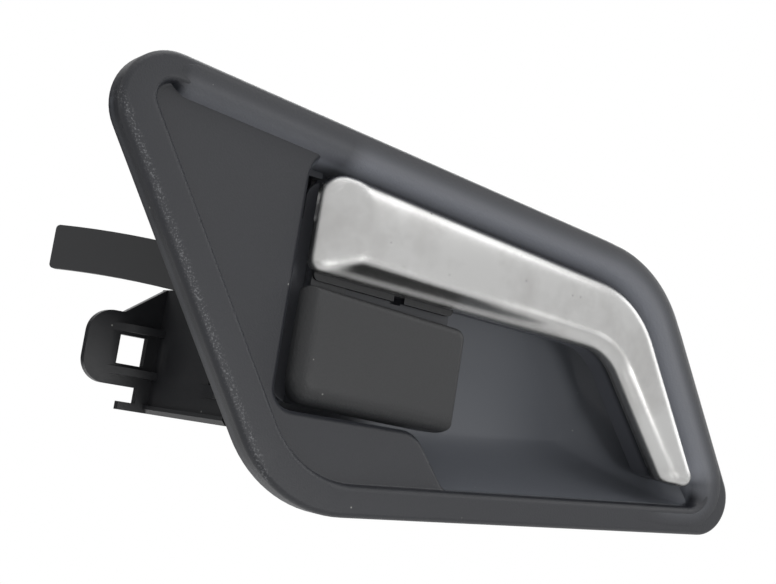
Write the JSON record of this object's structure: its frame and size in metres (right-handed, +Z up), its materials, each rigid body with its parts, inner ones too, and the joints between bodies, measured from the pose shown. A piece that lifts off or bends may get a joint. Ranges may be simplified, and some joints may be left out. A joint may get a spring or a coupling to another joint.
{
  "type": "car interior door handle",
  "caption": "Inner door handle of a car: slanted black bezel with a finger dish, a satin chrome pull lever on an upright pin, and the carrier bracket behind it.",
  "frame": {"origin": "centre of the bezel's outline on the seat plane, where the rim meets the door trim", "axes": "+X right along the handle seen from inside the car, +Y back into the door, +Z up"},
  "size_m": [0.1659, 0.0415, 0.0799],
  "materials": {
    "grained_black_plastic": "fine grain",
    "smooth_black_plastic": "smooth moulded",
    "lever_black_plastic": "fine grain",
    "satin_chrome": "satin plated plastic",
    "zinc_steel": "zinc plated",
    "spring_steel": "drawn wire",
    "black_rubber": "matt"
  },
  "bodies": {
    "frame": {"bezel": "grained_black_plastic", "carrier": "smooth_black_plastic", "pivot_pin": "zinc_steel", "return_spring": "spring_steel", "closing_buffer": "black_rubber", "carrier_screws": "zinc_steel"},
    "lever": {"lever_core": "lever_black_plastic", "handle_cover": "satin_chrome"}
  },
  "joints": [
    {"name": "lever_pull", "type": "hinge", "parent": "frame", "child": "lever", "pos_m": [-0.044, 0.0055, 0], "axis": [0, 0, -1], "range_deg": [0, 35], "stiffness_Nm_per_rad": 0.15, "springref_deg": -28.65, "deforming": ["return_spring"]}
  ]
}
